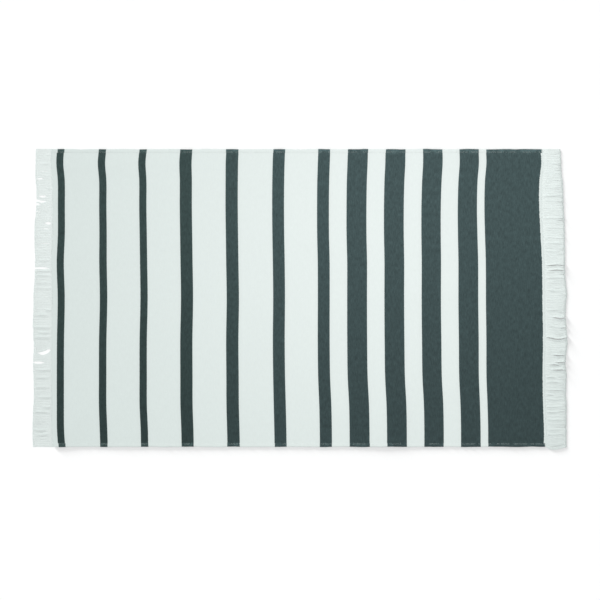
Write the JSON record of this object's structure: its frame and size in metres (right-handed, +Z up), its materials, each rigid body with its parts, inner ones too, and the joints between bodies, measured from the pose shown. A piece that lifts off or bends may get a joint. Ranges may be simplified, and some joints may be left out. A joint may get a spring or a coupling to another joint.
{
  "type": "fouta towel",
  "caption": "Flat-woven fouta towel lying flat in one layer, striped across, hemmed along its long sides and fringed at both ends, for drying, wrapping or lying on.",
  "frame": {"origin": "middle of the towel's outline from fringe tip to fringe tip and hem to hem, on the surface that it lies on", "axes": "+X along the towel towards its widest stripe, +Y across it, +Z up off the surface"},
  "size_m": [1.7998, 1, 0.0042],
  "materials": {
    "striped_cloth": "flat-woven cotton, cream with slate stripes woven across, matt",
    "fringe_yarn": "loosely twisted cream cotton warp ends, matt",
    "sewing_thread": "cream cotton sewing thread of the hems' lockstitches"
  },
  "bodies": {
    "root": {"panel": "striped_cloth", "hem_far": "striped_cloth", "hem_near": "striped_cloth", "fringe_left": "fringe_yarn", "fringe_right": "fringe_yarn"}
  },
  "joints": []
}
